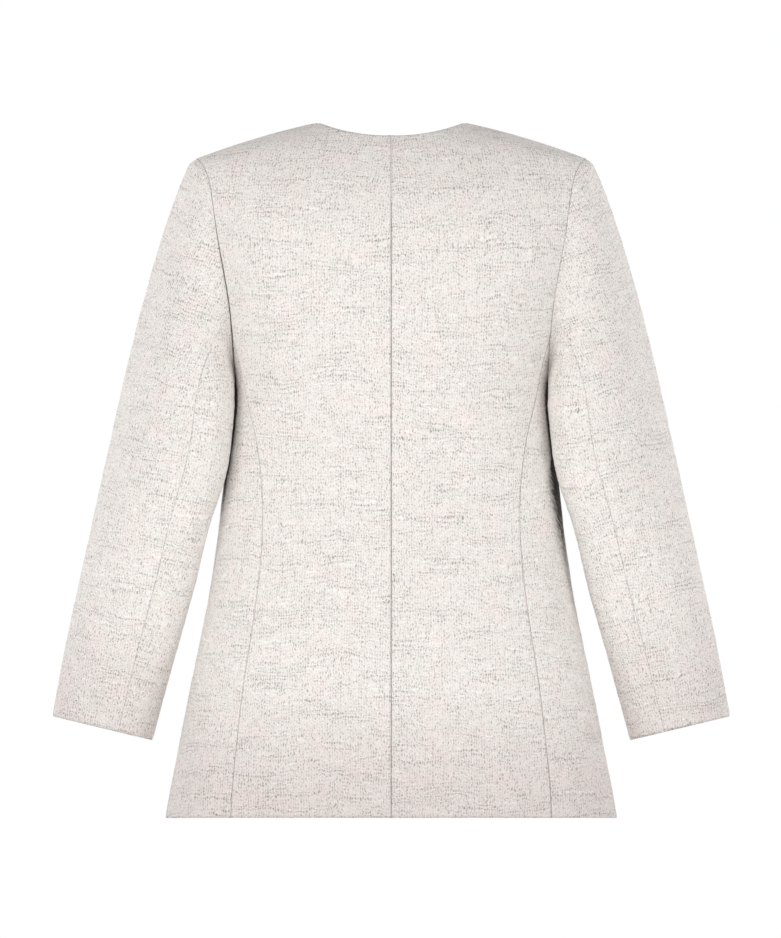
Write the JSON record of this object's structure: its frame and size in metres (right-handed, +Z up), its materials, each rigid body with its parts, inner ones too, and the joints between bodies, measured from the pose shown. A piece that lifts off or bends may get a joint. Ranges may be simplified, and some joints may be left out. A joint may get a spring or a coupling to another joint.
{
  "type": "collarless suit jacket",
  "caption": "Long collarless suit jacket, fitted at the waist and flared to the hem, with set-in two-piece sleeves, held open in its worn form.",
  "frame": {"origin": "midway between the two points where the shoulder seams meet the neckline, inside the collarless neck, where a wearer's or a hanger's shoulders hold the jacket up", "axes": "+Z up, the longest side; -Y out of the front closing and +Y out of the centre back, the shortest side; +X to the wearer's left"},
  "size_m": [0.716, 0.2307, 0.7352],
  "materials": {
    "cream_tweed": "matt woven tweed with crinkled yarns"
  },
  "bodies": {
    "root": {"back_left": "cream_tweed", "back_right": "cream_tweed", "side_back_left": "cream_tweed", "side_back_right": "cream_tweed", "front_left": "cream_tweed", "front_right": "cream_tweed", "top_sleeve_left": "cream_tweed", "top_sleeve_right": "cream_tweed", "under_sleeve_left": "cream_tweed", "under_sleeve_right": "cream_tweed"}
  },
  "joints": []
}
